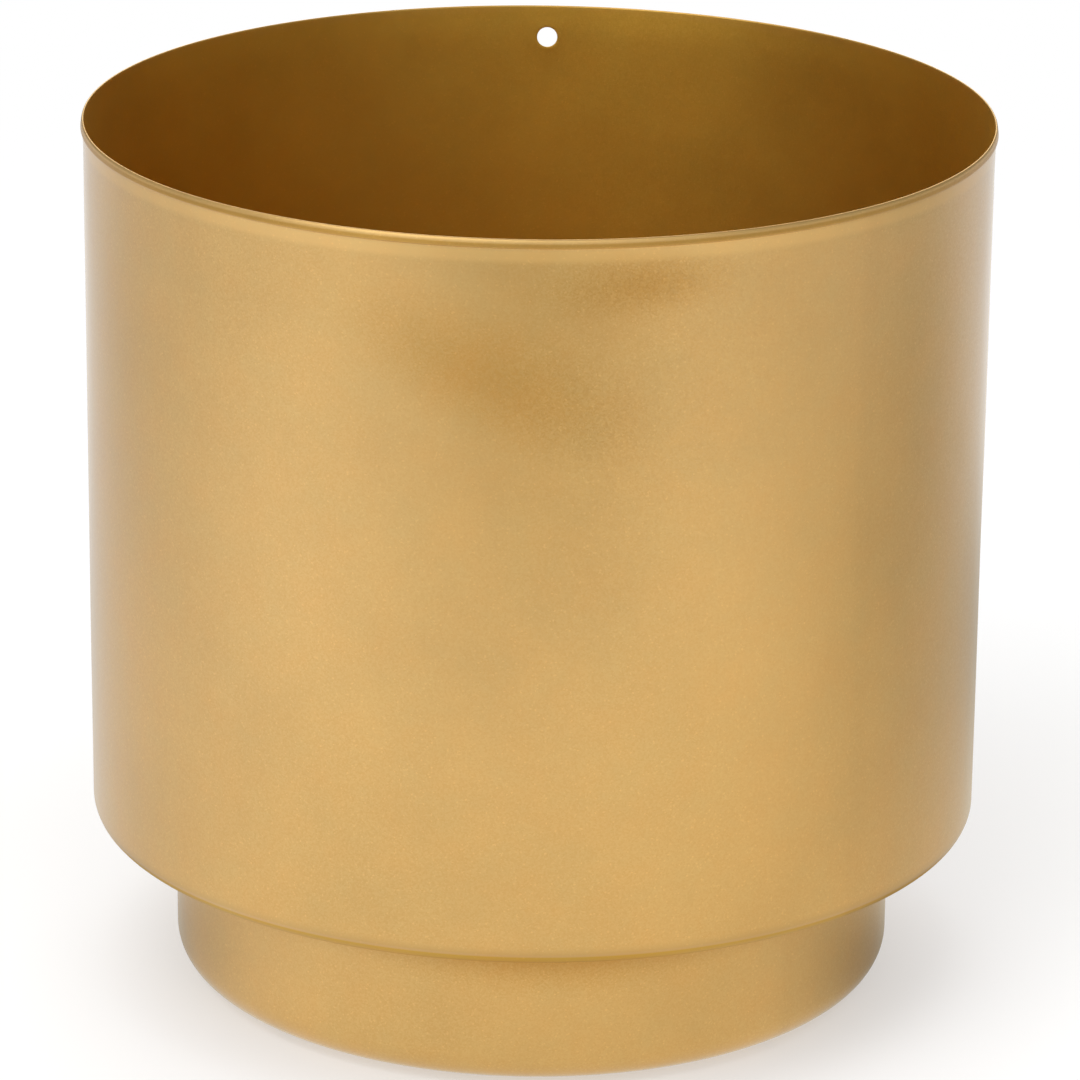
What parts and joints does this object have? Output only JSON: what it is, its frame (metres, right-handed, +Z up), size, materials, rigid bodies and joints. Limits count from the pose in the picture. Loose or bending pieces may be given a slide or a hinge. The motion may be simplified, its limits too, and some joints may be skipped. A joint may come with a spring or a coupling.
{
  "type": "cachepot",
  "caption": "Round sheet-metal cachepot: a straight-sided bowl with a thin hemmed rim and a hook hole, welded on a narrower round foot with a rounded lower edge, in satin gold lacquer.",
  "frame": {"origin": "centre of the pot, on the plane that its pads stand on", "axes": "+Z up along the pot's axis; the front faces -Y, and the hook hole is at the back, on +Y"},
  "size_m": [0.2098, 0.2098, 0.2071],
  "materials": {
    "gold_lacquer": "satin metallic gold lacquer with a fine flake",
    "weld_steel": "bare fused steel, inside the joint",
    "pad_rubber": "matt solid rubber"
  },
  "bodies": {
    "root": {"bowl": "gold_lacquer", "foot": "gold_lacquer", "spot_welds": "weld_steel", "pad_1": "pad_rubber", "pad_2": "pad_rubber", "pad_3": "pad_rubber", "pad_4": "pad_rubber"}
  },
  "joints": []
}
